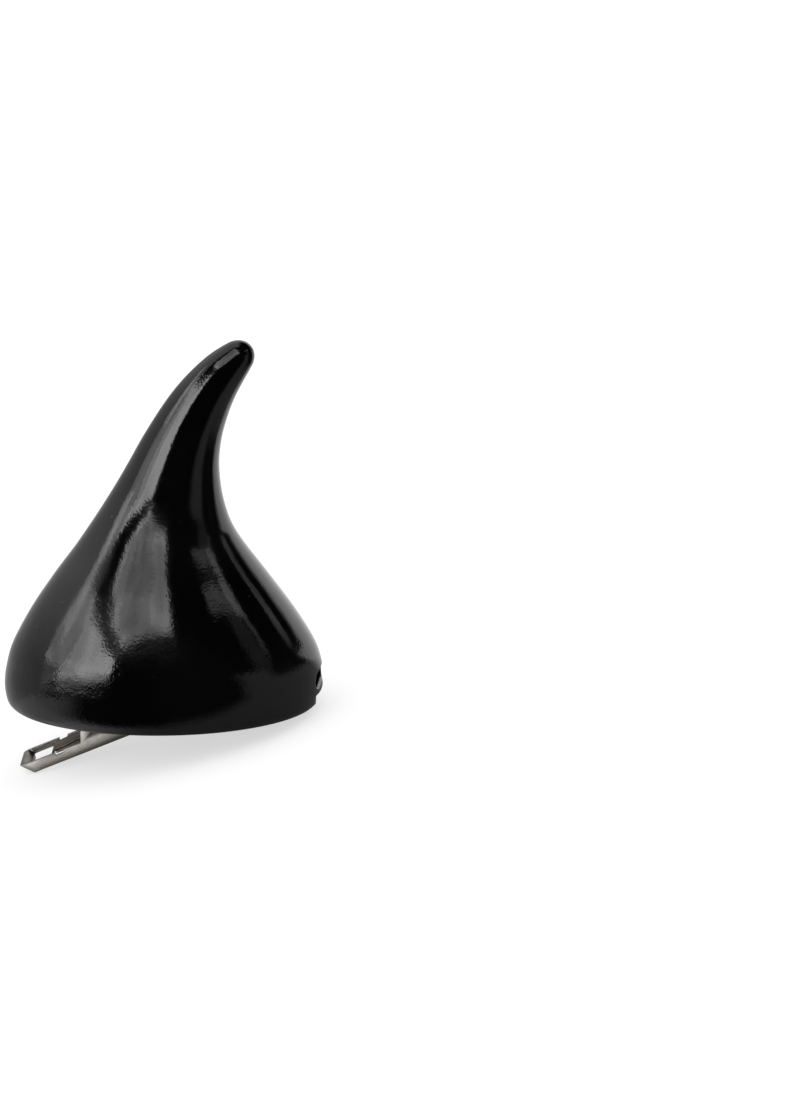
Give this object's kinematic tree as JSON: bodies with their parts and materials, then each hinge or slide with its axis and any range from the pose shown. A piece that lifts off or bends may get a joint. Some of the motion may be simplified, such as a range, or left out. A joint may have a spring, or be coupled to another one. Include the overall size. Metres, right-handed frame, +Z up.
{
  "type": "horn hair clip",
  "caption": "Hollow glossy black costume horn that curves to a blunt tip, glued to a sprung metal clip whose lever opens a toothed jaw to grip hair.",
  "frame": {"origin": "on the surface that the clip stands on, below the middle of the part's box", "axes": "+Z up, +X towards the side that the tip leans to, -X towards the finger lever, +Y across the clip along the hinge pin"},
  "size_m": [0.053, 0.038, 0.0627],
  "materials": {
    "black_vinyl": "glossy moulded vinyl, fine orange peel",
    "nickel_plate": "nickel-plated stamped steel, rubbed edges",
    "spring_steel": "dark oiled spring steel"
  },
  "bodies": {
    "horn": {"horn_shell": "black_vinyl", "clip_plate": "nickel_plate", "hinge_pin": "nickel_plate", "leaf_spring": "spring_steel"},
    "lever": {"clip_lever": "nickel_plate"}
  },
  "joints": [
    {"name": "lever_hinge", "type": "hinge", "parent": "horn", "child": "lever", "pos_m": [-0.01181, 0, 0.00588], "axis": [0, 1, 0], "range_deg": [0, 25], "stiffness_Nm_per_rad": 0.02, "springref_deg": -17.19, "deforming": ["leaf_spring"]}
  ]
}
